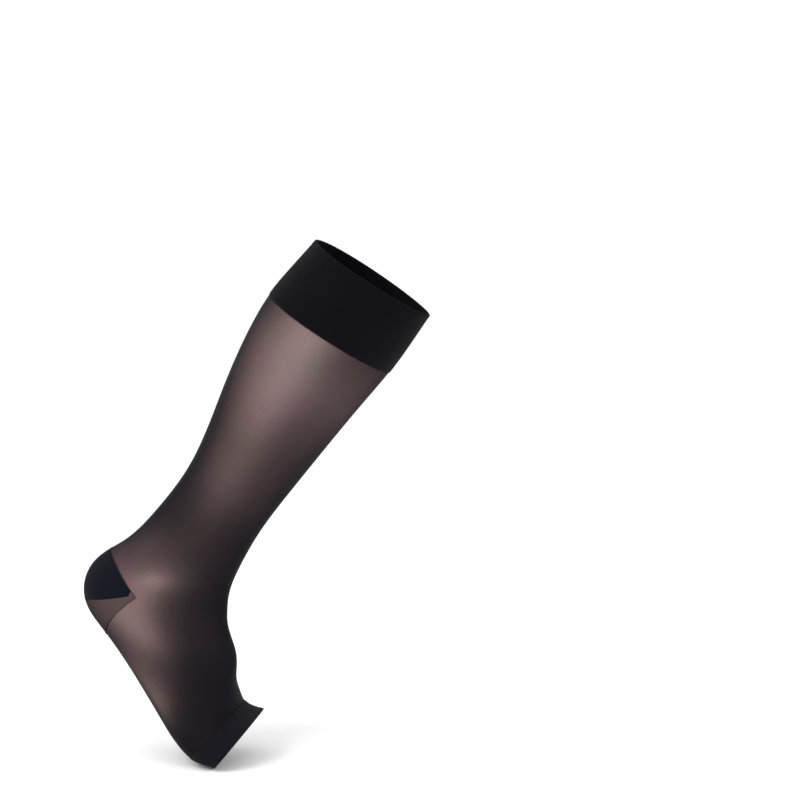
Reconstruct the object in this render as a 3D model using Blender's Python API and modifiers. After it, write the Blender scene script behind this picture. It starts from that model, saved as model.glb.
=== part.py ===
"""Knee-high compression stocking with an open toe, as it sits on a walking right leg.

Run with: blender --background --python part.py, or from Blender's text editor.

The stocking is a hollow knitted tube with both ends open. Five pieces are knitted or sewn on:
    top_band        the thick opaque welt under the knee
    leg_and_foot    the sheer tube, one run of knitting from the welt to the toe, with a hole for the heel
    heel_upper      the reinforced half of the heel pocket, behind the ankle
    heel_lower      the plain half of the heel pocket, under the heel
    toe_band        the thick cuff round the open toe

Every piece is an open sheet on one common surface, thickened inwards by a Solidify modifier. The surface
runs through oval sections. The empty "leg_pose" leans the whole leg forward. Its frame is
    +X out      forwards of the leg, towards the shin and the toes
    +Y side     towards the inner side of the leg
    -Z down     along the leg, from the centre of the top rim, which is the origin
Units are metres in the file; the sizes below are millimetres and degrees.
"""

import math
from collections import namedtuple

import bmesh
import bpy
import numpy as np

MM = 0.001

# ---------------------------------------------------------------- sizes

LEG_LEAN = 33.5  # degrees the leg leans forward in this step

# One row for each oval section. The section's centre is (down, out, side). Tilt turns its front end up
# towards the shin, roll turns it about the line of the leg or foot, and egg narrows its front end.
Section = namedtuple("Section", "name down out side tilt depth width roll egg")
SECTIONS = [
    Section("rim",           0.0,  -1.0,   0.0,  0.0, 119.0, 106.0,  0.0, 0.10),
    Section("band_middle",  30.0,  -3.5,   0.0,  0.0, 123.5, 111.0,  0.0, 0.11),
    Section("band_foot",    60.0,  -6.0,   0.0,  0.0, 126.0, 113.0,  0.0, 0.12),
    Section("calf_full",    95.0,  -7.5,   0.0,  0.0, 121.0, 110.0,  0.0, 0.12),
    Section("calf_low",    150.0,  -6.5,   0.0,  0.0, 107.0,  95.0,  0.0, 0.10),
    Section("shin",        200.0,  -4.0,   0.0,  0.0,  92.5,  78.0,  0.0, 0.07),
    Section("ankle_slim",  239.0,  -3.5,   0.0,  1.5,  86.0,  67.0,  0.0, 0.03),
    Section("ankle",       277.5,  -5.0,   0.0,  9.5,  91.5,  67.0,  0.0, 0.00),
    Section("heel_top",    308.0,  -8.5,   0.0, 17.5, 107.0,  69.0,  0.0, 0.02),
    Section("heel_back",   329.5, -13.0,   0.0, 22.0, 126.0,  69.0,  0.0, 0.06),
    Section("heel_turn",   346.0, -10.0,   0.0, 27.0, 133.0,  68.0,  0.0, 0.10),
    Section("heel_under",  358.5,  -1.0,   0.0, 31.5, 129.5,  67.0,  0.0, 0.12),
    Section("sole_back",   367.5,  12.0,   0.0, 34.5, 119.0,  68.0,  2.0, 0.14),
    Section("arch",        380.5,  39.0,  -3.0, 38.5, 104.0,  72.0,  5.0, 0.16),
    Section("instep",      391.0,  59.5,  -8.0, 47.0,  88.0,  79.0,  9.0, 0.17),
    Section("ball_back",   402.0,  81.0, -14.0, 62.5,  70.0,  87.0, 15.0, 0.16),
    Section("ball",        409.0,  99.0, -19.0, 76.0,  58.0,  92.0, 18.0, 0.14),
    Section("cuff_back",   411.0, 106.5, -21.0, 79.0,  50.5,  93.0, 19.0, 0.12),
    Section("toe_edge",    405.0, 128.0, -26.0, 84.0,  42.0,  92.0, 20.0, 0.10),
]
SIZES = ("down", "out", "side", "tilt", "depth", "width", "roll", "egg")

# Places along the middle of the tube, in millimetres of cloth from the top rim.
BAND_FOOT_AT = 62.0  # where the welt ends and the sheer leg starts
GORE_TIP_AT = 351.5  # where the heel's seams meet, on each side below the ankle
HEEL_TOP_AT = 320.5  # the heel's upper seam, at the back
HEEL_MIDDLE_AT = 361.0  # the seam between the heel's two halves, at the back
HEEL_SOLE_AT = 392.0  # the heel's lower seam, under the sole
UPPER_BOW, MIDDLE_BOW, LOWER_BOW = 0.55, 0.9, 0.0  # how much later than a straight line each seam turns to its tip
CUFF_WIDE = 22.0  # the toe band

SEAM_GAP = 0.30  # between two pieces that meet
HEEL_GAP = 0.34  # the same, down the tube, where the heel's seams slant

TOP_BAND_WALL, TOP_BAND_PROUD = 2.0, 0.6
SHEER_WALL = 1.0
HEEL_WALL = 1.3
TOE_BAND_WALL, TOE_BAND_PROUD = 1.4, 0.3

# Facets.
COLUMNS = 44  # round the tube, counted from the back of the leg
GORE_COLUMN = 10  # the column that the gore tips lie on, to each side of the back
HEEL_UPPER_COLUMN = 9.5  # the place among the columns where the heel's middle seam runs into its upper seam
BLUNT = 0.8  # how far into its last step round the tube a half of the heel reaches
BAND_ROWS, LEG_ROWS, HEEL_ROWS, FOOT_ROWS, CUFF_ROWS = 4, 18, 5, 12, 3
EDGE_ROW = 1.5  # the narrow row along an edge


# ---------------------------------------------------------------- the common surface


def natural_spline(knots, rows, at):
    """A natural cubic spline of each column of rows over the knots: its second derivative m is zero at both
    ends, and the first derivatives of neighbouring spans agree at each knot."""
    count = len(knots)
    span = np.diff(knots)
    left = np.eye(count)
    right = np.zeros_like(rows)
    for i in range(1, count - 1):
        left[i, i - 1 : i + 2] = span[i - 1], 2 * (span[i - 1] + span[i]), span[i]
        right[i] = 6 * ((rows[i + 1] - rows[i]) / span[i] - (rows[i] - rows[i - 1]) / span[i - 1])
    m = np.linalg.solve(left, right)
    k = np.clip(np.searchsorted(knots, at) - 1, 0, count - 2)
    h = span[k][..., None]
    after = (at - knots[k])[..., None]
    before = h - after
    return (
        (m[k] * before**3 + m[k + 1] * after**3) / (6 * h)
        + (rows[k] / h - m[k] * h / 6) * before
        + (rows[k + 1] / h - m[k + 1] * h / 6) * after
    )


SECTION_ROWS = np.array([[getattr(section, size) for size in SIZES] for section in SECTIONS])


def section_end(which):
    """(down, out) of each section's back end (-1) or front end (+1)."""
    tilt = np.radians(SECTION_ROWS[:, 3])
    half = which * SECTION_ROWS[:, 4] / 2
    return SECTION_ROWS[:, :2] + np.stack([-half * np.sin(tilt), half * np.cos(tilt)], 1)


def stations():
    """Each section's place along the tube: the mean of the cloth's travel at the back and at the front."""
    travel = [np.linalg.norm(np.diff(section_end(which), axis=0), axis=1) for which in (-1, 1)]
    return np.concatenate([[0.0], np.cumsum(np.mean(travel, axis=0))])


STATIONS = stations()
TOE_EDGE_AT = STATIONS[-1]
CUFF_AT = TOE_EDGE_AT - CUFF_WIDE


def surface(at, around):
    """Points of the stocking's outer face, in millimetres of the leg's frame. at is the place along the tube,
    around the angle in radians from the back of the leg, growing towards its inner side.
    The section is the oval p = depth/2 * cos, q = width/2 * sin * (1 - egg * cos), rolled, then tilted."""
    at, around = np.broadcast_arrays(np.asarray(at, float), np.asarray(around, float))
    down, out, side, tilt, depth, width, roll, egg = np.moveaxis(
        natural_spline(STATIONS, SECTION_ROWS, at), -1, 0
    )
    front = math.pi - around
    tilt, roll = np.radians(tilt), np.radians(roll)
    p = depth / 2 * np.cos(front)
    q = width / 2 * np.sin(front) * (1 - egg * np.cos(front))
    forward = p * np.cos(roll) + q * np.sin(roll)
    sideways = q * np.cos(roll) - p * np.sin(roll)
    return np.stack(
        [out + forward * np.cos(tilt), side + sideways, -(down - forward * np.sin(tilt))], -1
    )


# ---------------------------------------------------------------- the seams

STEP = 2 * math.pi / COLUMNS


def gore_share(column, bow):
    """How far a column is from the back of the heel (0) to the gore tip (1). The share of the way towards the
    front, (1 - cos) / (1 - cos of the tip), is mixed with its own square by bow. Between two columns it runs
    straight."""
    angles = STEP * np.arange(GORE_COLUMN + 1)
    shares = (1 - np.cos(angles)) / (1 - math.cos(angles[-1]))
    return np.interp(np.abs(column), np.arange(GORE_COLUMN + 1), (1 - bow) * shares + bow * shares**2)


def heel_seam(column, at_back, bow):
    """Place along the tube of a heel seam that leaves the back at at_back and ends at the gore tip."""
    return at_back + (GORE_TIP_AT - at_back) * gore_share(column, bow)


def upper_seam(column):
    return heel_seam(column, HEEL_TOP_AT, UPPER_BOW)


def lower_seam(column):
    return heel_seam(column, HEEL_SOLE_AT, LOWER_BOW)


def middle_seam(column):
    """Place along the tube of the seam between the heel's halves. It leaves the back at HEEL_MIDDLE_AT, runs
    into the upper seam just short of the gore tip, and follows it from there."""
    share = gore_share(column, MIDDLE_BOW) / gore_share(HEEL_UPPER_COLUMN, MIDDLE_BOW)
    own = HEEL_MIDDLE_AT + (upper_seam(HEEL_UPPER_COLUMN) - HEEL_MIDDLE_AT) * share
    return np.maximum(own, upper_seam(column))


def beside(at, columns, gap):
    """The place half a gap further along the tube, or further back where gap is negative. Where the tube
    bends, a millimetre along its middle is more on the outside of the bend and less on the inside."""
    around = columns * STEP
    stretch = np.linalg.norm(surface(at + 0.5, around) - surface(at - 0.5, around), axis=-1)
    return at + gap / 2 / stretch


# ---------------------------------------------------------------- building


def grid_of(columns, first, last, rows):
    """Points of a sheet, from the place first to the place last on each column, in even rows with one more
    narrow row along each edge, so that the wall stands square to the surface there. columns counts steps
    round the tube from the back, and may have parts of a step."""
    share = np.linspace(0, 1, rows + 1)[1:-1, None]
    hem = np.minimum(EDGE_ROW, (last - first) / (2 * rows))
    at = np.vstack([first, first + hem, (1 - share) * first + share * last, last - hem, last])
    return surface(at, np.broadcast_to(columns * STEP, at.shape))


def add_rows(mesh, points, closed, reuse=()):
    """Adds a grid of points to a bmesh with its faces looking out. reuse holds (column, vertex) pairs that
    stand in for the first row's own points."""
    reuse = dict(reuse)
    rows = [
        [
            reuse[i] if r == 0 and i in reuse else mesh.verts.new(point * MM)
            for i, point in enumerate(row)
        ]
        for r, row in enumerate(points)
    ]
    count = len(rows[0])
    for upper, lower in zip(rows, rows[1:]):
        for i in range(count if closed else count - 1):
            j = (i + 1) % count
            mesh.faces.new((upper[i], upper[j], lower[j], lower[i]))
    return rows


def finish(name, mesh, wall, proud, material, pose, collection):
    """Makes the object: the sheet, a Solidify that gives it its wall, inwards from proud above the surface."""
    data = bpy.data.meshes.new(name)
    mesh.to_mesh(data)
    mesh.free()
    data.shade_smooth()
    data.materials.append(material)
    piece = bpy.data.objects.new(name, data)
    piece.parent = pose
    collection.objects.link(piece)
    solidify = piece.modifiers.new("wall", "SOLIDIFY")
    solidify.thickness = wall * MM
    # offset -1 grows the wall inwards only; part of it stands proud of the common surface
    solidify.offset = -1 + 2 * proud / wall
    solidify.use_even_offset = True
    solidify.use_quality_normals = True
    return piece


def tube_sheet(first, first_gap, last, last_gap, rows):
    """A plain band all round the tube, kept back from the piece that it meets at either edge."""
    mesh = bmesh.new()
    columns = np.arange(COLUMNS)
    top = beside(np.full(COLUMNS, first), columns, first_gap)
    bottom = beside(np.full(COLUMNS, last), columns, -last_gap)
    add_rows(mesh, grid_of(columns, top, bottom, rows), closed=True)
    return mesh


def leg_and_foot_sheet():
    """The sheer tube. It is whole across the instep; at the back it is left open between the heel's upper
    and lower seams."""
    mesh = bmesh.new()
    columns = np.arange(COLUMNS)
    from_back = np.minimum(columns, COLUMNS - columns)
    behind = from_back < GORE_COLUMN
    top = beside(np.full(COLUMNS, BAND_FOOT_AT), columns, SEAM_GAP)
    bottom = beside(np.full(COLUMNS, CUFF_AT), columns, -SEAM_GAP)
    above = np.where(behind, beside(upper_seam(from_back), columns, -HEEL_GAP), GORE_TIP_AT)
    below = np.where(behind, beside(lower_seam(from_back), columns, HEEL_GAP), GORE_TIP_AT)
    leg = add_rows(mesh, grid_of(columns, top, above, LEG_ROWS), closed=True)
    shared = [(i, leg[-1][i]) for i in columns if not behind[i]]
    add_rows(mesh, grid_of(columns, below, bottom, FOOT_ROWS), closed=True, reuse=shared)
    return mesh


def heel_sheet(first_seam, second_seam, tip_column):
    """Half of the heel pocket, between two seams that meet on the column tip_column, on each side. It ends
    blunt just behind that tip."""
    mesh = bmesh.new()
    last = tip_column - 1 + BLUNT
    side = [c for c in (*range(GORE_COLUMN), HEEL_UPPER_COLUMN) if c < last] + [last]
    columns = np.array([-c for c in reversed(side[1:])] + side, float)
    first = beside(first_seam(columns), columns, HEEL_GAP)
    second = beside(second_seam(columns), columns, -HEEL_GAP)
    add_rows(mesh, grid_of(columns, first, second, HEEL_ROWS), closed=False)
    return mesh


def knit(name, colour, roughness, sheen):
    """A cloth material: a Principled BSDF with the piece's colour."""
    material = bpy.data.materials.new(name)
    material.use_nodes = True
    shader = material.node_tree.nodes["Principled BSDF"]
    shader.inputs["Base Color"].default_value = (*colour, 1)
    shader.inputs["Roughness"].default_value = roughness
    shader.inputs["Metallic"].default_value = 0.0
    shader.inputs["Sheen Weight"].default_value = sheen
    material.diffuse_color = (*colour, 1)
    return material


def main():
    for old in list(bpy.data.objects):
        bpy.data.objects.remove(old, do_unlink=True)
    collection = bpy.data.collections.new("compression_stocking")
    bpy.context.scene.collection.children.link(collection)
    pose = bpy.data.objects.new("leg_pose", None)
    pose.empty_display_size = 0.05
    pose.rotation_euler = (0.0, math.radians(LEG_LEAN), 0.0)
    collection.objects.link(pose)

    band_knit = knit("band_knit", (0.008, 0.007, 0.010), 0.75, 0.15)
    sheer_knit = knit("sheer_knit", (0.120, 0.080, 0.078), 0.70, 0.20)
    heel_knit = knit("heel_knit", (0.010, 0.011, 0.014), 0.75, 0.15)
    heel_sheer_knit = knit("heel_sheer_knit", (0.075, 0.054, 0.063), 0.72, 0.20)

    top_band = tube_sheet(0.0, 0.0, BAND_FOOT_AT, SEAM_GAP, BAND_ROWS)
    toe_band = tube_sheet(CUFF_AT, SEAM_GAP, TOE_EDGE_AT, 0.0, CUFF_ROWS)
    heel_upper = heel_sheet(upper_seam, middle_seam, HEEL_UPPER_COLUMN)
    heel_lower = heel_sheet(middle_seam, lower_seam, GORE_COLUMN)
    for name, mesh, wall, proud, material in (
        ("top_band", top_band, TOP_BAND_WALL, TOP_BAND_PROUD, band_knit),
        ("leg_and_foot", leg_and_foot_sheet(), SHEER_WALL, 0.0, sheer_knit),
        ("heel_upper", heel_upper, HEEL_WALL, 0.0, heel_knit),
        ("heel_lower", heel_lower, HEEL_WALL, 0.0, heel_sheer_knit),
        ("toe_band", toe_band, TOE_BAND_WALL, TOE_BAND_PROUD, band_knit),
    ):
        finish(name, mesh, wall, proud, material, pose, collection)


main()
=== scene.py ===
"""The looks of a knee-high compression stocking with an open toe.

Every cloth piece is a thin shell on one tube surface: ovals set along the leg and the foot, joined by a
natural cubic spline. A place on the tube is (at, around): at is millimetres of cloth from the top rim, along
the middle of the tube, and around is the angle from the back of the leg, growing towards its inner side.
"""

import math

import bpy
import numpy as np
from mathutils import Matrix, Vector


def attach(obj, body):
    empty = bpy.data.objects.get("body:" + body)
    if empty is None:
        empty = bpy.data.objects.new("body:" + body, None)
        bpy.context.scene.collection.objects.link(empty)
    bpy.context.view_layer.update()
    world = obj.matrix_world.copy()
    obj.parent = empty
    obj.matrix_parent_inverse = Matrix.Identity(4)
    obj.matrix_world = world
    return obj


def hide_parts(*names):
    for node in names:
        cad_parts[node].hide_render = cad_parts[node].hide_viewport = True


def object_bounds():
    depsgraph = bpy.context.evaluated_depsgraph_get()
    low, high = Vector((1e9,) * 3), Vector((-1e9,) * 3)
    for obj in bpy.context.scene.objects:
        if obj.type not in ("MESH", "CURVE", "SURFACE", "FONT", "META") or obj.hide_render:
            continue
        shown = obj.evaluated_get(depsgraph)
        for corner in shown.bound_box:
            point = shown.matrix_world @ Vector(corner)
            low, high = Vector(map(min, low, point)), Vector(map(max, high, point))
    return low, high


bl_info = {
    "name": "Compression stocking",
    "version": (1, 0, 0),
    "blender": (4, 5, 0),
    "location": "3D View > Sidebar > Stocking",
    "description": "Knits a sheer knee-high compression stocking with a heel pocket, a welt and a toe band",
    "category": "Add Mesh",
}

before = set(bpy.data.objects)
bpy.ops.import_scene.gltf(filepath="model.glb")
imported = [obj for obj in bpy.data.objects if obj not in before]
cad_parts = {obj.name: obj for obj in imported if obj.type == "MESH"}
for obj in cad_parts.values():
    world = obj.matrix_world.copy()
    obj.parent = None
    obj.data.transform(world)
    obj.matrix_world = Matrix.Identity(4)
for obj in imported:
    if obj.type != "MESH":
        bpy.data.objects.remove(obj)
CAD_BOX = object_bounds()

MM = 0.001
BODY = "root"

# ---------------------------------------------------------------- sizes of the tube

LEG_LEAN = 33.5  # degrees the leg leans forward in this step

# One row for each oval: its centre down, out and to the side of the leg's line (mm), the tilt of its front
# end (degrees), its depth and width (mm), its roll (degrees), and how far its front end narrows.
OVAL_COLUMNS = ("down", "out", "side", "tilt", "depth", "width", "roll", "egg")
OVALS = {
    "rim": (0.0, -1.0, 0.0, 0.0, 119.0, 106.0, 0.0, 0.10),
    "band_middle": (30.0, -3.5, 0.0, 0.0, 123.5, 111.0, 0.0, 0.11),
    "band_foot": (60.0, -6.0, 0.0, 0.0, 126.0, 113.0, 0.0, 0.12),
    "calf_full": (95.0, -7.5, 0.0, 0.0, 121.0, 110.0, 0.0, 0.12),
    "calf_low": (150.0, -6.5, 0.0, 0.0, 107.0, 95.0, 0.0, 0.10),
    "shin": (200.0, -4.0, 0.0, 0.0, 92.5, 78.0, 0.0, 0.07),
    "ankle_slim": (239.0, -3.5, 0.0, 1.5, 86.0, 67.0, 0.0, 0.03),
    "ankle": (277.5, -5.0, 0.0, 9.5, 91.5, 67.0, 0.0, 0.00),
    "heel_top": (308.0, -8.5, 0.0, 17.5, 107.0, 69.0, 0.0, 0.02),
    "heel_back": (329.5, -13.0, 0.0, 22.0, 126.0, 69.0, 0.0, 0.06),
    "heel_turn": (346.0, -10.0, 0.0, 27.0, 133.0, 68.0, 0.0, 0.10),
    "heel_under": (358.5, -1.0, 0.0, 31.5, 129.5, 67.0, 0.0, 0.12),
    "sole_back": (367.5, 12.0, 0.0, 34.5, 119.0, 68.0, 2.0, 0.14),
    "arch": (380.5, 39.0, -3.0, 38.5, 104.0, 72.0, 5.0, 0.16),
    "instep": (391.0, 59.5, -8.0, 47.0, 88.0, 79.0, 9.0, 0.17),
    "ball_back": (402.0, 81.0, -14.0, 62.5, 70.0, 87.0, 15.0, 0.16),
    "ball": (409.0, 99.0, -19.0, 76.0, 58.0, 92.0, 18.0, 0.14),
    "cuff_back": (411.0, 106.5, -21.0, 79.0, 50.5, 93.0, 19.0, 0.12),
    "toe_edge": (405.0, 128.0, -26.0, 84.0, 42.0, 92.0, 20.0, 0.10),
}
OVAL_ROWS = np.array(list(OVALS.values()))

# How open the sheer knit is: the share of one of its faces, met head on, that the black yarn leaves free. It
# opens at the calf and the heel and closes towards the ankle, the shin and the toes. It isn't stretch alone:
# the values also hold painted light and shade. Painted shade makes the front of the leg and the foot darker,
# and painted light makes other zones lighter, as on a leg inside the stocking. The last column is the share of
# the free part that the fine inlay yarn fills.
OPENNESS_AND_SHADE_COLUMNS = ("at", "back", "half_back", "side", "half_front", "front", "inlay")
OPENNESS_AND_SHADE = {
    "under_band": (62.0, 0.44, 0.71, 0.79, 0.41, 0.45, 0.34),
    "calf": (105.0, 0.50, 0.75, 0.80, 0.56, 0.60, 0.36),
    "calf_low": (150.0, 0.30, 0.62, 0.72, 0.42, 0.40, 0.40),
    "shin": (195.0, 0.17, 0.42, 0.51, 0.28, 0.20, 0.44),
    "above_ankle": (230.0, 0.12, 0.29, 0.40, 0.21, 0.16, 0.48),
    "ankle": (268.0, 0.14, 0.12, 0.15, 0.10, 0.08, 0.52),
    "hollow": (298.0, 0.32, 0.26, 0.18, 0.10, 0.07, 0.54),
    "heel_top": (330.0, 0.46, 0.46, 0.58, 0.16, 0.04, 0.55),
    "heel_under": (365.0, 0.34, 0.72, 0.56, 0.08, 0.03, 0.54),
    "arch": (395.0, 0.35, 0.50, 0.44, 0.06, 0.05, 0.52),
    "instep": (422.0, 0.66, 0.50, 0.14, 0.03, 0.04, 0.50),
    "ball": (450.0, 0.13, 0.60, 0.12, 0.02, 0.03, 0.50),
    "cuff": (485.0, 0.30, 0.05, 0.02, 0.02, 0.02, 0.50),
}
ROUND_THE_TUBE = ("front", "half_front", "side", "half_back", "back")
LEAST_OPEN = 0.02
MOST_OPEN = 0.95

# Painted highlight: the knit is a little more open again in a round spot on each side of the ankle, which
# makes it lighter where light would fall on the ankle bone of a leg inside.
ANKLE_HIGHLIGHT_AT = 332.0
ANKLE_HIGHLIGHT_AROUND = math.radians(95)
ANKLE_HIGHLIGHT_WIDE = 10.0
ANKLE_HIGHLIGHT_RISE = 0.30  # added to the logarithm of openness at the spot's middle
ANKLE_HALF_WIDTH = 34.0  # mm, which turns an angle round the ankle into a distance

# The heel pocket's seams. Each tip is a share of a turn round from the back: the gore tip, where the upper
# and lower seams meet, and the front ends of the seam between the halves. A bow bends a seam's run to its tip.
GORE_TIP_TURN = 10 / 44
MIDDLE_TIP_TURN = 9.3 / 44
UPPER_BOW = 0.55
MIDDLE_BOW = 0.39
LOWER_BOW = 0.0

# How the pieces lie on one another, in mm
BAND_OVERLAP = 2.0  # the sheer leg's edges run this far in under the welt and the toe band
SHEER_TUCK = -0.10  # the sheer leg lies this far off the tube, under the heel's edges and the two bands
HEEL_LAP = 0.15  # each heel half laps this far over its neighbours
HEEL_INLAY = 0.54  # share of the lower half's free part that the inlay yarn fills
ROLL_WIDE = 2.2  # width of the bell curve that swells a band's turned edge
ROLL_INSET = 1.8  # how far in from the edge that roll lies
CUFF_ROLL = 0.35  # how much thicker the toe band is at its roll
LINKING_GAP = 0.35  # how far off a band's edge its linking stitches run
HEEL_LINKING_LIFT = 0.05  # how far the heel's linking stitches stand off the tube

# One linking stitch
STITCH_RINGS = 5
STITCH_SIDES = 6
STITCH_FIRST_RING = 0.06  # share of the way along the stitch; the last ring is as far from its other end
STITCH_REACH = 1.12  # length of its line over the length that it takes up
STITCH_LEAN = 0.9  # lean across the seam, in thicknesses of the thread
STITCH_SUNK = 0.35  # how far its ends dip, in half thicknesses of the thread
STITCH_TIP = 1e-4  # metres that each tip stands past its last ring


def natural_spline(knots, rows, at):
    """A natural cubic spline of each column of rows over the knots: the second derivative m is zero at both
    ends, and neighbouring spans share their first derivative at each knot."""
    count = len(knots)
    span = np.diff(knots)
    left = np.eye(count)
    right = np.zeros_like(rows)
    for i in range(1, count - 1):
        left[i, i - 1 : i + 2] = span[i - 1], 2 * (span[i - 1] + span[i]), span[i]
        right[i] = 6 * ((rows[i + 1] - rows[i]) / span[i] - (rows[i] - rows[i - 1]) / span[i - 1])
    m = np.linalg.solve(left, right)
    k = np.clip(np.searchsorted(knots, at) - 1, 0, count - 2)
    h = span[k][..., None]
    after = (at - knots[k])[..., None]
    before = h - after
    return (
        (m[k] * before**3 + m[k + 1] * after**3) / (6 * h)
        + (rows[k] / h - m[k] * h / 6) * before
        + (rows[k + 1] / h - m[k + 1] * h / 6) * after
    )


def oval_stations():
    """Each oval's place along the tube: the mean of the cloth's travel at the back and at the front."""
    down, out, tilt, depth = (OVAL_ROWS[:, OVAL_COLUMNS.index(n)] for n in ("down", "out", "tilt", "depth"))
    tilt = np.radians(tilt)
    travel = []
    for end in (-0.5, 0.5):
        half = end * depth
        line = np.stack([down - half * np.sin(tilt), out + half * np.cos(tilt)], 1)
        travel.append(np.linalg.norm(np.diff(line, axis=0), axis=1))
    return np.concatenate([[0.0], np.cumsum(np.mean(travel, axis=0))])


STATIONS = oval_stations()
TOE_EDGE_AT = STATIONS[-1]


def on_tube(at, around):
    """Points of the tube's outer face in metres. On an oval, p is half the depth times the cosine of the
    angle from the front, and q is half the width times its sine times (1 - egg * its cosine). The oval is
    rolled about the line of the leg, tilted, and leaned with the leg."""
    at, around = np.broadcast_arrays(np.asarray(at, float), np.asarray(around, float))
    columns = np.moveaxis(natural_spline(STATIONS, OVAL_ROWS, at), -1, 0)
    down, out, side, tilt, depth, width, roll, egg = columns
    front = math.pi - around
    tilt = np.radians(tilt)
    roll = np.radians(roll)
    lean = math.radians(LEG_LEAN)
    p = depth / 2 * np.cos(front)
    q = width / 2 * np.sin(front) * (1 - egg * np.cos(front))
    forward = p * np.cos(roll) + q * np.sin(roll)
    sideways = q * np.cos(roll) - p * np.sin(roll)
    out = out + forward * np.cos(tilt)
    down = down - forward * np.sin(tilt)
    points = (
        out * math.cos(lean) - down * math.sin(lean),
        side + sideways,
        -down * math.cos(lean) - out * math.sin(lean),
    )
    return np.stack(points, -1) * MM


def lifted(at, around, lift):
    """Points lift millimetres off the tube along its outward normal, the cross product of the surface's steps
    round the tube and along it."""
    at, around, lift = np.broadcast_arrays(*(np.asarray(x, float) for x in (at, around, lift)))
    step_at, step_around = 0.2, 0.003
    inside = np.clip(at, step_at, TOE_EDGE_AT - step_at)
    along = on_tube(inside + step_at, around) - on_tube(inside - step_at, around)
    across = on_tube(inside, around + step_around) - on_tube(inside, around - step_around)
    normal = np.cross(across, along)
    normal /= np.linalg.norm(normal, axis=-1, keepdims=True)
    # a place just past either end of the tube carries straight on along it
    past = (at - inside)[..., None] * along / (2 * step_at)
    return on_tube(inside, around) + past + normal * (lift * MM)[..., None]


def openness_and_shade_at(at, around):
    """(openness, inlay) of the sheer knit, where the openness also holds painted light and shade. The
    logarithm of openness is blended between the table's rows along the tube, and round it by a natural spline
    over the cosine of the angle, whose knots run from -1 at the front through 0 at the side to 1 at the back.
    A painted highlight is added on each side of the ankle."""
    column = dict(zip(OPENNESS_AND_SHADE_COLUMNS, np.array(list(OPENNESS_AND_SHADE.values())).T))
    table = np.log(np.stack([column[name] for name in ROUND_THE_TUBE], 1))
    marks = natural_spline(column["at"], table, at)
    count = len(ROUND_THE_TUBE)
    fan = natural_spline(np.linspace(-1, 1, count), np.eye(count), np.cos(around))
    from_back = np.abs((around + math.pi) % (2 * math.pi) - math.pi)
    # painted highlight: a lighter round spot on each side of the ankle
    off = (from_back - ANKLE_HIGHLIGHT_AROUND) * ANKLE_HALF_WIDTH
    spot = ANKLE_HIGHLIGHT_RISE * np.exp(-((at - ANKLE_HIGHLIGHT_AT) ** 2 + off**2) / ANKLE_HIGHLIGHT_WIDE**2)
    openness_and_shade = np.exp((marks * fan).sum(-1) + spot).clip(LEAST_OPEN, MOST_OPEN)
    return openness_and_shade, np.interp(at, column["at"], column["inlay"])


# ---------------------------------------------------------------- properties


def millimetres(name, description, default, low=0.0, high=1.0):
    return bpy.props.FloatProperty(
        name=name,
        description=description,
        default=default * MM,
        min=low,
        max=high,
        subtype="DISTANCE",
        unit="LENGTH",
        precision=4,
    )


def number(name, description, default, low=0.0, high=1000.0):
    return bpy.props.FloatProperty(name=name, description=description, default=default, min=low, max=high)


def share(name, description, default):
    return bpy.props.FloatProperty(
        name=name, description=description, default=default, min=0.0, max=1.0, subtype="FACTOR"
    )


def colour(name, description, default):
    return bpy.props.FloatVectorProperty(
        name=name, description=description, default=default, size=3, min=0.0, max=1.0, subtype="COLOR"
    )


class StockingSizes(bpy.types.PropertyGroup):
    """Sizes that a knitter would change"""

    band_wide: millimetres("Top band", "Width of the welt, from the rim down", 62.0)
    band_wall: millimetres("Top band wall", "Thickness of the doubled welt", 1.7)
    band_proud: millimetres("Top band proud", "How far the welt stands off the sheer leg", 0.6)
    band_rim: millimetres("Rim roll", "How much thicker the welt is at its turned edge", 0.5)
    cuff_wide: millimetres("Toe band", "Width of the cuff round the toes", 22.0)
    cuff_wall: millimetres("Toe band wall", "Thickness of the toe band", 1.3)
    cuff_proud: millimetres("Toe band proud", "How far the toe band stands off the foot", 0.45)
    sheer_wall: millimetres("Sheer wall", "Thickness of the sheer knit", 0.45)
    heel_wall: millimetres("Heel wall", "Thickness of the heel pocket's knit", 0.7)
    heel_top: millimetres("Heel top", "Place of the heel's upper seam at the back", 320.5)
    heel_middle: millimetres("Heel middle", "Place of the seam between the heel's halves at the back", 361.0)
    heel_middle_end: millimetres("Heel middle's end", "Place of that seam's front ends", 350.9)
    heel_sole: millimetres("Heel sole", "Place of the heel's lower seam under the sole", 392.0)
    gore_tip: millimetres("Gore tip", "Place of the tip where the heel's seams meet", 351.5)
    stitch_long: millimetres("Linking stitch", "Length of one linking stitch along a seam", 1.7)
    stitch_thick: millimetres("Linking thread", "Thickness of the linking thread", 0.42)
    wales: number("Wales", "Columns of stitches round the leg", 420.0)
    courses: number("Courses", "Rows of stitches for each centimetre of leg", 16.0)


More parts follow.
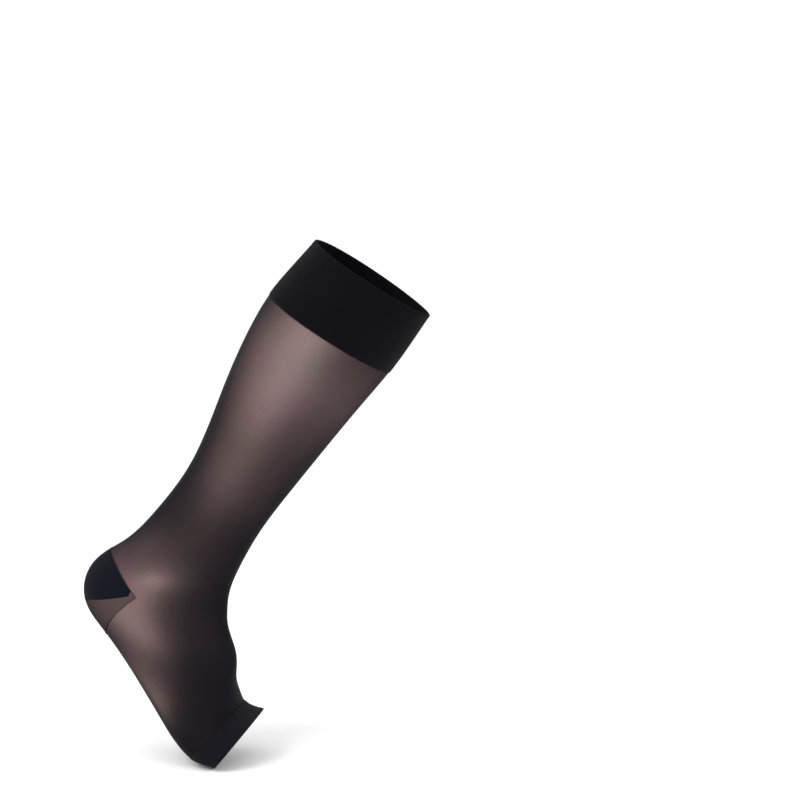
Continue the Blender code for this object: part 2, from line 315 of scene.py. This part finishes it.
class StockingColours(bpy.types.PropertyGroup):
    """Colours and finish of the yarns"""

    sheer_yarn: colour("Sheer yarn", "The thin black yarn of the leg and foot", (0.0042, 0.0036, 0.0062))
    inlay_pink: colour("Inlay, pinkish", "The fine inlay where it looks pinkish", (0.345, 0.212, 0.220))
    inlay_olive: colour("Inlay, greenish", "The fine inlay where it looks greenish", (0.318, 0.226, 0.205))
    sheer_tint: colour("Sheer tint", "The light that one sheer face lets through", (1.0, 0.965, 0.962))
    band_yarn: colour("Band yarn", "The thick yarn of the welt", (0.0032, 0.0029, 0.0047))
    cuff_yarn: colour("Toe yarn", "The yarn of the toe band", (0.0062, 0.0062, 0.0098))
    heel_yarn: colour("Heel yarn", "The reinforced yarn of the heel's upper half", (0.0044, 0.0056, 0.0090))
    seam_yarn: colour("Linking yarn", "The thread of the seams", (0.013, 0.006, 0.007))
    heel_lower_open: share("Lower heel openness", "Openness of the heel's lower half, head on", 0.40)
    cloudy: share("Unevenness", "How much the knit's density drifts from place to place", 0.10)


class StockingStage(bpy.types.PropertyGroup):
    """The camera, the floor and the lights"""

    view_turn: bpy.props.FloatProperty(
        name="View turn",
        description="Turn of the view from straight at the outer side, towards the front",
        default=math.radians(7.5),
        subtype="ANGLE",
    )
    view_drop: bpy.props.FloatProperty(
        name="View drop",
        description="How far the view looks down",
        default=math.radians(5.565),
        subtype="ANGLE",
    )
    view_lens: bpy.props.FloatProperty(
        name="Lens", description="Focal length", default=87.75, min=20, max=300, unit="CAMERA"
    )
    view_far: millimetres("View distance", "Depth of the rim's centre in front of the lens", 1710.5, 0.1, 10.0)
    rim_left: millimetres("Rim to the left", "How far left of the view's middle the rim's centre lies", 22.8)
    rim_above: millimetres("Rim above", "How far above the view's middle the rim's centre lies", 107.0)
    floor_gap: millimetres("Floor gap", "Clear space under the ball of the foot", 0.5)
    floor_tone: colour("Floor", "Pale floor", (0.97, 0.97, 0.97))
    key_power: bpy.props.FloatProperty(
        name="Key light", description="Power of the large soft light", default=26.0, min=0, unit="POWER"
    )
    sky: number("Surround", "Strength of the even white surround", 1.035, 0, 10)


# ---------------------------------------------------------------- meshes


def woven(index, closed_across, closed_along=False):
    """Quads between neighbouring rows and columns of a grid of vertex numbers, with each corner's row and
    column count. The counts run on past the last one where the grid closes on itself."""
    if closed_across:
        index = np.hstack([index, index[:, :1]])
    if closed_along:
        index = np.vstack([index, index[:1]])
    row, column = np.indices(index.shape)
    corners = lambda a: np.stack([a[:-1, :-1], a[:-1, 1:], a[1:, 1:], a[1:, :-1]], -1).reshape(-1, 4)
    return corners(index), np.stack([corners(row), corners(column)], -1)


def with_wall(quads, uv, count):
    """A closed shell from an open sheet: the sheet, its copy on the inner points turned round, and a strip
    along every edge that only one quad uses. Edge a-b of the sheet gives the strip's quad b, a, a', b'."""
    start = quads.ravel()
    end = np.roll(quads, -1, axis=1).ravel()
    start_uv = uv.reshape(-1, 2)
    end_uv = np.roll(uv, -1, axis=1).reshape(-1, 2)
    lone = ~np.isin(start * count + end, end * count + start)
    a, b = start[lone], end[lone]
    strip = np.stack([b, a, a + count, b + count], -1)
    strip_uv = np.stack([end_uv[lone], start_uv[lone], start_uv[lone], end_uv[lone]], 1)
    return (
        np.vstack([quads, quads[:, ::-1] + count, strip]),
        np.vstack([uv, uv[:, ::-1], strip_uv]),
    )


def add_object(name, mesh, material):
    """A smooth object of the mesh in the scene."""
    mesh.shade_smooth()
    mesh.materials.append(material)
    piece = bpy.data.objects.new(name, mesh)
    bpy.context.scene.collection.objects.link(piece)
    return piece


def add_piece(name, points, quads, uv, values, material, nodes):
    """Makes a cloth piece from arrays: its points, quads, the stitch counts at every corner as a UV map named
    knit, and named numbers on the points. It rides on the stocking's one body and stands in for the nodes."""
    if bpy.data.objects.get(name) is not None:
        raise RuntimeError(f"{name} is already there")
    mesh = bpy.data.meshes.new(name)
    mesh.from_pydata(points.reshape(-1, 3), [], quads.tolist())
    layer = mesh.uv_layers.new(name="knit")
    layer.data.foreach_set("uv", uv.reshape(-1, 2).astype(np.float32).ravel())
    for key, value in values.items():
        attribute = mesh.attributes.new(key, "FLOAT", "POINT")
        attribute.data.foreach_set("value", np.asarray(value, np.float32).ravel())
    mesh.validate()
    piece = add_object(name, mesh, material)
    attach(piece, BODY)
    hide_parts(*nodes)
    return piece


def stitch_counts(at, columns, total, sizes):
    """UV in stitches: wales round the tube from the column count, and courses from the place along it."""
    return np.stack([columns / total * sizes.wales, at / 10 * sizes.courses], -1)


class HeelSeams:
    """The heel's three seams as places along the tube, from the sizes. Each runs from the back of the heel to
    the gore tip; its share of the way is (1 - cos) / (1 - cos of the tip), mixed with its own square by the
    seam's bow."""

    def __init__(self, sizes):
        self.tip = GORE_TIP_TURN * 2 * math.pi
        self.upper_tip = MIDDLE_TIP_TURN * 2 * math.pi
        self.top, self.middle, self.sole, self.gore = (
            getattr(sizes, n) / MM for n in ("heel_top", "heel_middle", "heel_sole", "gore_tip")
        )
        self.middle_end = sizes.heel_middle_end / MM

    def share(self, around, bow):
        straight = np.minimum((1 - np.cos(around)) / (1 - math.cos(self.tip)), 1.0)
        return (1 - bow) * straight + bow * straight**2

    def upper(self, around):
        """From the back, above the heel, in a bow to the gore tip."""
        return self.top + (self.gore - self.top) * self.share(around, UPPER_BOW)

    def between(self, around):
        """From the back of the heel to its own end just short of the tip, then along the upper seam."""
        way = self.share(around, MIDDLE_BOW) / self.share(self.upper_tip, MIDDLE_BOW)
        own = self.middle + (self.middle_end - self.middle) * way
        return np.where(np.abs(around) < self.upper_tip, own, self.upper(around))

    def lower(self, around):
        """From under the sole straight to the gore tip."""
        return self.sole + (self.gore - self.sole) * self.share(around, LOWER_BOW)


# ---------------------------------------------------------------- materials


class Nodes:
    """Short hand for the nodes of one material."""

    def __init__(self, name):
        self.material = bpy.data.materials.new(name)
        self.material.use_nodes = True
        self.tree = self.material.node_tree
        self.tree.nodes.clear()
        self.output = self.tree.nodes.new("ShaderNodeOutputMaterial")

    def add(self, kind, **settings):
        node = self.tree.nodes.new("ShaderNode" + kind)
        for key, value in settings.items():
            setattr(node, key, value)
        return node

    def put(self, socket, value):
        if isinstance(value, bpy.types.NodeSocket):
            self.tree.links.new(value, socket)
        else:
            socket.default_value = value

    def math(self, operation, *values, clamp=False):
        node = self.add("Math", operation=operation, use_clamp=clamp)
        for socket, value in zip(node.inputs, values):
            self.put(socket, value)
        return node.outputs[0]

    def noise(self, vector, scale, detail=2.0, roughness=0.5):
        node = self.add("TexNoise")
        self.put(node.inputs["Vector"], vector)
        for key, value in (("Scale", scale), ("Detail", detail), ("Roughness", roughness)):
            self.put(node.inputs[key], value)
        return node.outputs["Fac"]

    def stretched(self, vector, scale):
        node = self.add("Mapping")
        self.put(node.inputs["Vector"], vector)
        self.put(node.inputs["Scale"], scale)
        return node.outputs["Vector"]

    def stitches(self):
        """(height, knit UV) of a plain knit, from the knit map. Each stitch is a pair of legs that lean
        together, so the wale's wave is shifted by a triangle wave of the course."""
        uv = self.add("UVMap", uv_map="knit").outputs["UV"]
        split = self.add("SeparateXYZ")
        self.put(split.inputs[0], uv)
        across, along = split.outputs[0], split.outputs[1]
        lean = self.math("PINGPONG", along, 0.5)
        legs = self.math("ADD", self.math("MULTIPLY", across, 2.0), self.math("MULTIPLY", lean, 0.9))
        wave = self.math("SINE", self.math("MULTIPLY", legs, 2 * math.pi))
        rows = self.math("SINE", self.math("MULTIPLY", along, 2 * math.pi))
        height = self.math("MULTIPLY_ADD", wave, 0.35, 0.5)
        return self.math("MULTIPLY_ADD", rows, 0.15, height), uv

    def yarn(self, base, roughness, specular, sheen, sheen_rough, bump=None, bump_mm=0.05, strength=0.5):
        """A Principled BSDF of yarn. Its sheen is the down of a matt knit."""
        shader = self.add("BsdfPrincipled")
        self.put(shader.inputs["Base Color"], base if isinstance(base, bpy.types.NodeSocket) else (*base, 1))
        self.put(shader.inputs["Roughness"], roughness)
        self.put(shader.inputs["Specular IOR Level"], specular)
        self.put(shader.inputs["Sheen Weight"], sheen)
        self.put(shader.inputs["Sheen Roughness"], sheen_rough)
        if bump is not None:
            node = self.add("Bump")
            self.put(node.inputs["Strength"], strength)
            self.put(node.inputs["Distance"], bump_mm * MM)
            self.put(node.inputs["Height"], bump)
            self.tree.links.new(node.outputs[0], shader.inputs["Normal"])
        return shader.outputs[0]

    def finish(self, shader):
        self.tree.links.new(shader, self.output.inputs["Surface"])
        return self.material


def drift(nodes, amount):
    """(drift, height): a slow drift of the knit's density about 1, in soft clouds some 40 mm wide, faint
    streaks along the wales and a finer grain, and the height of its stitches."""
    place = nodes.add("TexCoord").outputs["Object"]
    cloud = nodes.noise(place, 26.0, 2.0, 0.45)
    height, uv = nodes.stitches()
    streak = nodes.noise(nodes.stretched(uv, (0.22, 0.006, 1.0)), 1.0, 2.0, 0.6)
    fine = nodes.noise(nodes.stretched(uv, (0.9, 0.5, 1.0)), 1.0, 1.0, 0.5)
    total = nodes.math("SUBTRACT", cloud, 0.5)
    for noise, weight in ((streak, 0.7), (fine, 0.25)):
        total = nodes.math("ADD", total, nodes.math("MULTIPLY", nodes.math("SUBTRACT", noise, 0.5), weight))
    return nodes.math("MULTIPLY_ADD", total, 2 * amount, 1.0), height


def sheer_knit(name, colours):
    """A see-through knit of black yarn with a fine warm inlay. One face of it leaves free openness to the
    power
    1 / cosine, where openness is a number on the points and the cosine is that of the ray, because a
    slanting ray meets more yarn. On the leg and the foot that number also holds painted light and shade. The
    stitches and a slow drift change the power. The inlay fills a share of what is left free."""
    least_cosine = 0.07  # keeps the power finite where the cloth is seen edge on
    nodes = Nodes(name)
    power, height = drift(nodes, colours.cloudy)
    power = nodes.math("MULTIPLY", power, nodes.math("MULTIPLY_ADD", height, 0.2, 0.9))
    facing = nodes.add("LayerWeight")
    facing.inputs["Blend"].default_value = 0.5
    cosine = nodes.math("MAXIMUM", nodes.math("SUBTRACT", 1.0, facing.outputs["Facing"]), least_cosine)
    # on the leg and the foot this attribute also holds painted light and shade
    openness_and_shade = nodes.add("Attribute", attribute_name="openness_and_shade").outputs["Fac"]
    free = nodes.math("POWER", openness_and_shade, nodes.math("DIVIDE", power, cosine))
    clear = nodes.add("BsdfTransparent")
    clear.inputs["Color"].default_value = (*colours.sheer_tint, 1)

    place = nodes.add("TexCoord").outputs["Object"]
    patch = nodes.noise(place, 34.0, 2.0, 0.5)
    hue = nodes.add("Mix", data_type="RGBA")
    ramp = nodes.add("MapRange")
    for key, value in (("Value", patch), ("From Min", 0.36), ("From Max", 0.64)):
        nodes.put(ramp.inputs[key], value)
    nodes.put(hue.inputs[0], ramp.outputs[0])
    nodes.put(hue.inputs[6], (*colours.inlay_pink, 1))
    nodes.put(hue.inputs[7], (*colours.inlay_olive, 1))
    inlay = nodes.yarn(hue.outputs[2], 0.8, 0.0, 0.0, 0.4)
    black = nodes.yarn(colours.sheer_yarn, 0.7, 0.05, 0.015, 0.4, height, 0.06, 0.4)
    within = nodes.add("MixShader")
    nodes.put(within.inputs[0], nodes.add("Attribute", attribute_name="inlay").outputs["Fac"])
    nodes.tree.links.new(clear.outputs[0], within.inputs[1])
    nodes.tree.links.new(inlay, within.inputs[2])
    mix = nodes.add("MixShader")
    nodes.put(mix.inputs[0], nodes.math("SUBTRACT", 1.0, free, clamp=True))
    nodes.tree.links.new(within.outputs[0], mix.inputs[1])
    nodes.tree.links.new(black, mix.inputs[2])
    return nodes.finish(mix.outputs[0])


def dense_knit(name, base, sheen, bump_mm=0.16, clouds=0.18, specular=0.04, roughness=0.82):
    """A shut knit: the yarn's colour drifts a little, and fine stitches stand up in rows, with painted light
    and shade that makes the colour lighter on the raised stitches and darker in the dips between them.
    """
    nodes = Nodes(name)
    tone, height = drift(nodes, clouds)
    # painted light and shade: the colour follows the stitch height, lighter where it stands up, darker in the
    # dips
    shade = nodes.math("MULTIPLY", tone, nodes.math("MULTIPLY_ADD", height, 0.5, 0.75))
    mix = nodes.add("Mix", data_type="RGBA", blend_type="MULTIPLY")
    nodes.put(mix.inputs[0], 1.0)
    nodes.put(mix.inputs[6], (*base, 1))
    grey = nodes.add("CombineColor")
    for socket in grey.inputs[:3]:
        nodes.put(socket, shade)
    nodes.put(mix.inputs[7], grey.outputs[0])
    return nodes.finish(nodes.yarn(mix.outputs[2], roughness, specular, sheen, 0.45, height, bump_mm, 0.6))


# ---------------------------------------------------------------- operators


class STOCKING_OT_leg_and_foot(bpy.types.Operator):
    """Knit the sheer leg and foot, one tube with a hole for the heel"""

    bl_idname = "stocking.leg_and_foot"
    bl_label = "Leg and foot"

    columns: bpy.props.IntProperty(
        name="Columns", description="Columns of the mesh round the tube", default=176, min=44
    )
    leg_rows: bpy.props.IntProperty(
        name="Leg rows", description="Rows of the mesh above the heel", default=132, min=20
    )
    foot_rows: bpy.props.IntProperty(
        name="Foot rows", description="Rows of the mesh below the heel", default=84, min=20
    )

    def execute(self, context):
        sizes, colours = context.scene.stocking_sizes, context.scene.stocking_colours
        seams = HeelSeams(sizes)
        count = self.columns
        column = np.arange(count)
        around = column * 2 * math.pi / count
        from_back = np.minimum(around, 2 * math.pi - around)
        tip_column = round(count * GORE_TIP_TURN)
        behind = np.minimum(column, count - column) < tip_column
        top = np.full(count, sizes.band_wide / MM - BAND_OVERLAP)
        end = np.full(count, TOE_EDGE_AT - sizes.cuff_wide / MM + BAND_OVERLAP)
        above = np.where(behind, seams.upper(from_back), seams.gore)
        below = np.where(behind, seams.lower(from_back), seams.gore)

        blend = lambda a, b, rows: a + (b - a) * np.linspace(0, 1, rows + 1)[:, None]
        leg_at = blend(top, above, self.leg_rows)
        foot_at = blend(below, end, self.foot_rows)
        # the first row of the foot is the leg's last row where the tube is whole
        leg_index = np.arange(leg_at.size).reshape(leg_at.shape)
        foot_index = leg_at.size + np.arange(foot_at.size).reshape(foot_at.shape)
        foot_index[0, ~behind] = leg_index[-1, ~behind]
        at = np.concatenate([leg_at.ravel(), foot_at.ravel()])
        turn = np.concatenate([np.broadcast_to(around, grid.shape).ravel() for grid in (leg_at, foot_at)])
        numbers = np.concatenate([leg_index.ravel(), foot_index.ravel()])
        used, number_of = np.unique(numbers, return_inverse=True)
        leg_index = number_of[: leg_at.size].reshape(leg_at.shape)
        foot_index = number_of[leg_at.size :].reshape(foot_at.shape)
        at, turn = at[used], turn[used]

        leg_quads, leg_corner = woven(leg_index, True)
        foot_quads, foot_corner = woven(foot_index, True)
        quads = np.vstack([leg_quads, foot_quads])
        corner = np.vstack([leg_corner, foot_corner])
        uv = stitch_counts(at[quads], corner[..., 1], count, sizes)
        quads, uv = with_wall(quads, uv, len(at))
        wall = sizes.sheer_wall / MM
        points = np.vstack([lifted(at, turn, SHEER_TUCK), lifted(at, turn, SHEER_TUCK - wall)])
        # the knit's openness here also carries painted light and shade
        openness_and_shade, inlay = openness_and_shade_at(at, turn)
        values = {"openness_and_shade": np.tile(openness_and_shade, 2), "inlay": np.tile(inlay, 2)}
        knit = sheer_knit("sheer_knit", colours)
        piece = add_piece(
            "sheer_leg_and_foot", points, quads, uv, values, knit, ("leg_and_foot",)
        )
        return {"FINISHED"}


class STOCKING_OT_heel(bpy.types.Operator):
    """Knit the two halves of the heel pocket"""

    bl_idname = "stocking.heel"
    bl_label = "Heel pocket"

    columns: bpy.props.IntProperty(
        name="Columns", description="Columns of the mesh across the heel", default=96, min=20
    )
    rows: bpy.props.IntProperty(name="Rows", description="Rows of the mesh down each half", default=30, min=5)

    def half(self, first, last, tip):
        """Grid places of one half: across from tip to tip, and down from its first seam to its last, both
        lapped a little over the neighbours. Rows close up towards the tips."""
        around = np.linspace(-tip, tip, self.columns + 1)
        down = np.linspace(0, 1, self.rows + 1)[:, None]
        at = (first(around) - HEEL_LAP) * (1 - down) + (last(around) + HEEL_LAP) * down
        return at, np.broadcast_to(around, at.shape)

    def execute(self, context):
        sizes, colours = context.scene.stocking_sizes, context.scene.stocking_colours
        seams = HeelSeams(sizes)
        wall = sizes.heel_wall / MM
        shut = dense_knit("heel_knit", colours.heel_yarn, 0.02)
        plain = sheer_knit("heel_sheer_knit", colours)
        upper = (seams.upper, seams.between, seams.upper_tip, shut, "heel_knit", "heel_upper", 0.0)
        lower = (
            seams.between, seams.lower, seams.tip, plain,
            "heel_sheer_knit", "heel_lower", colours.heel_lower_open,
        )
        for name, (first, last, tip, material, slot, node, open_wall), area, flat in (
            ("heel_upper_half", upper, 0.0034, (0.105, 0.055)),
            ("heel_lower_half", lower, 0.0023, (0.110, 0.043)),
        ):
            at, around = self.half(first, last, tip)
            index = np.arange(at.size).reshape(at.shape)
            quads, corner = woven(index, False)
            flat_at = at.ravel()
            outer = lifted(flat_at, around.ravel(), 0.0)
            drop = np.linalg.norm(np.diff(outer.reshape(*at.shape, 3), axis=0), axis=-1) / MM
            drop = np.vstack([np.zeros(at.shape[1]), np.cumsum(drop, axis=0)]).ravel()
            uv = stitch_counts(drop[quads], corner[..., 1] * 2 * tip / (2 * math.pi), self.columns, sizes)
            quads, uv = with_wall(quads, uv, at.size)
            points = np.vstack([outer, lifted(flat_at, around.ravel(), -wall)])
            values = {}
            if open_wall:
                values["openness_and_shade"] = np.full(2 * at.size, open_wall)
                values["inlay"] = np.full(2 * at.size, HEEL_INLAY)
            piece = add_piece(name, points, quads, uv, values, material, (node,))
        return {"FINISHED"}


def ring_profile(start, end, proud, wall, roll, roll_at, ends=7, sides=26):
    """Cross-section of a doubled band as a closed line of (at, lift): down its outer face, round its foot, up
    its inner face and round its top. Both ends are half circles of the wall's thickness; a roll, a bell curve
    at roll_at, swells the wall there."""
    half = wall / 2
    middle = proud - half
    at = start + half + (end - start - 2 * half) * np.linspace(0, 1, sides)
    turn = np.linspace(-math.pi / 2, math.pi / 2, ends + 2)[1:-1]
    swell = lambda x: roll / 2 * np.exp(-(((x - roll_at) / ROLL_WIDE) ** 2))
    outer = np.stack([at, middle + half + swell(at)], 1)
    inner = np.stack([at[::-1], middle - half - swell(at[::-1]) * 0.5], 1)
    foot = np.stack([at[-1] + half * np.cos(-turn), middle + (half + swell(at[-1])) * np.sin(-turn)], 1)
    head = np.stack([at[0] - half * np.cos(turn), middle + (half + swell(at[0])) * np.sin(turn)], 1)
    return np.vstack([outer, foot, inner, head])


def band_piece(name, profile, columns, material, node, sizes):
    """A band: the profile carried round the tube, so point (i, j) is the profile's i-th (at, lift) at the
    j-th angle."""
    around = np.arange(columns) * 2 * math.pi / columns
    at = np.repeat(profile[:, :1], columns, axis=1)
    lift = np.repeat(profile[:, 1:], columns, axis=1)
    points = lifted(at, np.broadcast_to(around, at.shape), lift)
    index = np.arange(at.size).reshape(at.shape)
    quads, corner = woven(index, True, True)
    closed = np.vstack([profile, profile[:1]])
    along = np.append(0.0, np.cumsum(np.linalg.norm(np.diff(closed, axis=0), axis=1)))
    uv = stitch_counts(along[corner[..., 0]], corner[..., 1], columns, sizes)
    return add_piece(name, points.reshape(-1, 3), quads, uv, {}, material, (node,))


class STOCKING_OT_bands(bpy.types.Operator):
    """Knit the welt under the knee and the cuff round the toes"""

    bl_idname = "stocking.bands"
    bl_label = "Top band and toe band"

    columns: bpy.props.IntProperty(
        name="Columns", description="Columns of the mesh round a band", default=192, min=44
    )

    def execute(self, context):
        sizes, colours = context.scene.stocking_sizes, context.scene.stocking_colours
        mm = lambda name: getattr(sizes, name) / MM
        welt = ring_profile(
            0.0, mm("band_wide"), mm("band_proud"), mm("band_wall"), mm("band_rim"), ROLL_INSET
        )
        knit = dense_knit("band_knit", colours.band_yarn, 0.02)
        band = band_piece("welt", welt, self.columns, knit, "top_band", sizes)
        start = TOE_EDGE_AT - mm("cuff_wide")
        roll_at = TOE_EDGE_AT - ROLL_INSET
        cuff = ring_profile(
            start, TOE_EDGE_AT, mm("cuff_proud"), mm("cuff_wall"), CUFF_ROLL, roll_at, sides=16
        )
        knit = dense_knit("toe_knit", colours.cuff_yarn, 0.03)
        toe = band_piece("toe_cuff", cuff, self.columns, knit, "toe_band", sizes)
        return {"FINISHED"}


def stitch_row(at, around, sizes, lift):
    """(points, quads, triangles) of a row of linking stitches along a line on the tube. Each stitch is a
    closed bead: rings whose radius goes as the sine of the way along it, on a line that leans across the seam
    and dips into the cloth at both ends."""
    line = on_tube(at, around)
    way = np.append(0.0, np.cumsum(np.linalg.norm(np.diff(line, axis=0), axis=1)))
    count = max(2, int(way[-1] / sizes.stitch_long))
    middle = (np.arange(count) + 0.5) / count * way[-1]
    t = np.linspace(STITCH_FIRST_RING, 1 - STITCH_FIRST_RING, STITCH_RINGS)
    place = middle[:, None] + (t - 0.5) * sizes.stitch_long * STITCH_REACH
    place = np.clip(place, 0, way[-1])
    lean = (t - 0.5) * STITCH_LEAN * sizes.stitch_thick / MM
    spot_at = np.interp(place, way, at) + lean
    spot_around = np.interp(place, way, around)
    height = lift + 0.5 * sizes.stitch_thick / MM * (np.sin(math.pi * t) - STITCH_SUNK)
    centre = lifted(spot_at, spot_around, np.broadcast_to(height, spot_at.shape))
    up = lifted(spot_at, spot_around, np.broadcast_to(height + 1.0, spot_at.shape)) - centre
    up /= np.linalg.norm(up, axis=-1, keepdims=True)
    run = np.gradient(centre, axis=1)
    run /= np.maximum(np.linalg.norm(run, axis=-1, keepdims=True), 1e-9)
    across = np.cross(run, up)
    turn = np.arange(STITCH_SIDES) * 2 * math.pi / STITCH_SIDES
    radius = sizes.stitch_thick / 2 * np.sin(math.pi * t)[None, :, None, None]
    points = centre[:, :, None] + radius * (
        across[:, :, None] * np.cos(turn)[:, None] + up[:, :, None] * np.sin(turn)[:, None]
    )
    tips = np.stack([centre[:, 0] - run[:, 0] * STITCH_TIP, centre[:, -1] + run[:, -1] * STITCH_TIP], 1)
    block = STITCH_RINGS * STITCH_SIDES + 2
    points = np.concatenate([points.reshape(count, -1, 3), tips], 1)
    ring = np.arange(STITCH_RINGS * STITCH_SIDES).reshape(STITCH_RINGS, STITCH_SIDES)
    nxt = np.roll(ring, -1, axis=1)
    tube = np.stack([ring[:-1], ring[1:], nxt[1:], nxt[:-1]], -1).reshape(-1, 4)
    cap = lambda tip, first, second: np.stack([np.full(STITCH_SIDES, tip), first, second], -1)
    caps = np.vstack([cap(block - 2, ring[0], nxt[0]), cap(block - 1, nxt[-1], ring[-1])])
    shift = np.arange(count)[:, None, None] * block
    return points.reshape(-1, 3), (tube + shift).reshape(-1, 4), (caps + shift).reshape(-1, 3)


class STOCKING_OT_linking(bpy.types.Operator):
    """Link the seams of the welt, the toe band and the heel with rows of small stitches"""

    bl_idname = "stocking.linking"
    bl_label = "Linking stitches"

    def execute(self, context):
        sizes, colours = context.scene.stocking_sizes, context.scene.stocking_colours
        seams = HeelSeams(sizes)
        ring = np.linspace(0, 2 * math.pi, 400)
        wide = np.linspace(-seams.tip, seams.tip, 300)
        short = np.linspace(-seams.upper_tip, seams.upper_tip, 260)
        welt_foot = sizes.band_wide / MM
        cuff_top = TOE_EDGE_AT - sizes.cuff_wide / MM
        rows = {
            "welt_linking": [(np.full_like(ring, welt_foot + LINKING_GAP), ring, 0.0)],
            "toe_linking": [(np.full_like(ring, cuff_top - LINKING_GAP), ring, 0.0)],
            "heel_linking": [
                (seams.upper(wide), wide, HEEL_LINKING_LIFT),
                (seams.between(short), short, HEEL_LINKING_LIFT),
                (seams.lower(wide), wide, HEEL_LINKING_LIFT),
            ],
        }
        material = dense_knit("linking_thread", colours.seam_yarn, 0.05, 0.03)
        for name, lines in rows.items():
            points, faces, start = [], [], 0
            for at, around, lift in lines:
                spots, quads, triangles = stitch_row(at, around, sizes, lift)
                points.append(spots)
                faces += (quads + start).tolist() + (triangles + start).tolist()
                start += len(spots)
            mesh = bpy.data.meshes.new(name)
            mesh.from_pydata(np.vstack(points), [], faces)
            mesh.validate()
            uv = mesh.uv_layers.new(name="knit")
            uv.data.foreach_set("uv", np.zeros(2 * len(mesh.loops), np.float32))
            piece = add_object(name, mesh, material)
            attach(piece, BODY)
        return {"FINISHED"}


class STOCKING_OT_stage(bpy.types.Operator):
    """Set the pale floor, the soft lights and the camera"""

    bl_idname = "stocking.stage"
    bl_label = "Floor, lights and camera"

    def execute(self, context):
        stage, scene = context.scene.stocking_stage, context.scene
        floor_at = CAD_BOX[0][2] - stage.floor_gap
        half = 12.0
        corners = ((-half, -half), (half, -half), (half, half), (-half, half))
        mesh = bpy.data.meshes.new("floor")
        mesh.from_pydata([(x, y, floor_at) for x, y in corners], [], [(0, 1, 2, 3)])
        floor = bpy.data.objects.new("floor", mesh)
        scene.collection.objects.link(floor)
        nodes = Nodes("pale_floor")
        shader = nodes.add("BsdfPrincipled")
        shader.inputs["Base Color"].default_value = (*stage.floor_tone, 1)
        shader.inputs["Roughness"].default_value = 0.9
        shader.inputs["Specular IOR Level"].default_value = 0.1
        mesh.materials.append(nodes.finish(shader.outputs[0]))

        world = bpy.data.worlds.new("studio")
        world.use_nodes = True
        world.node_tree.nodes["Background"].inputs[0].default_value = (1, 1, 1, 1)
        world.node_tree.nodes["Background"].inputs[1].default_value = stage.sky
        scene.world = world
        middle = np.mean(np.array(CAD_BOX), axis=0)
        for name, offset, size, power in (
            ("key_light", (-1.3, -1.1, 1.5), 1.6, stage.key_power),
            ("fill_light", (1.6, -1.4, 0.9), 1.8, stage.key_power * 0.35),
        ):
            data = bpy.data.lights.new(name, "AREA")
            data.shape, data.size, data.energy = "DISK", size, power
            light = bpy.data.objects.new(name, data)
            light.location = middle + np.array(offset)
            aim = np.array(offset) / np.linalg.norm(offset)
            light.rotation_euler = (math.acos(aim[2]), 0, math.atan2(aim[0], -aim[1]))
            scene.collection.objects.link(light)

        turn, drop = stage.view_turn, stage.view_drop
        level = math.cos(drop)
        forward = np.array([-math.sin(turn) * level, math.cos(turn) * level, -math.sin(drop)])
        right = np.array([math.cos(turn), math.sin(turn), 0.0])
        up = np.cross(right, forward)
        data = bpy.data.cameras.new("camera")
        data.lens, data.sensor_width, data.clip_end = stage.view_lens, 36.0, 50.0
        camera = bpy.data.objects.new("camera", data)
        camera.location = -(stage.view_far * forward - stage.rim_left * right + stage.rim_above * up)
        camera.rotation_euler = (math.pi / 2 - drop, 0, turn)
        scene.collection.objects.link(camera)
        scene.camera = camera
        scene.view_settings.view_transform = "Standard"
        return {"FINISHED"}


class STOCKING_PT_panel(bpy.types.Panel):
    """Sizes, colours and steps of the stocking"""

    bl_idname = "STOCKING_PT_panel"
    bl_label = "Compression stocking"
    bl_space_type = "VIEW_3D"
    bl_region_type = "UI"
    bl_category = "Stocking"

    def draw(self, context):
        layout = self.layout
        for group in ("stocking_sizes", "stocking_colours", "stocking_stage"):
            box = layout.box()
            data = getattr(context.scene, group)
            for key in data.__annotations__:
                box.prop(data, key)
        for operator in STEPS:
            layout.operator(operator.bl_idname)


STEPS = (
    STOCKING_OT_leg_and_foot,
    STOCKING_OT_heel,
    STOCKING_OT_bands,
    STOCKING_OT_linking,
    STOCKING_OT_stage,
)
GROUPS = {
    "stocking_sizes": StockingSizes,
    "stocking_colours": StockingColours,
    "stocking_stage": StockingStage,
}


def register():
    for cls in (*GROUPS.values(), *STEPS, STOCKING_PT_panel):
        bpy.utils.register_class(cls)
    for name, group in GROUPS.items():
        setattr(bpy.types.Scene, name, bpy.props.PointerProperty(type=group))


def unregister():
    for name in GROUPS:
        delattr(bpy.types.Scene, name)
    for cls in reversed((*GROUPS.values(), *STEPS, STOCKING_PT_panel)):
        bpy.utils.unregister_class(cls)


def main():
    register()
    for operator in STEPS:
        group, name = operator.bl_idname.split(".")
        getattr(getattr(bpy.ops, group), name)()


if __name__ == "__main__":
    main()
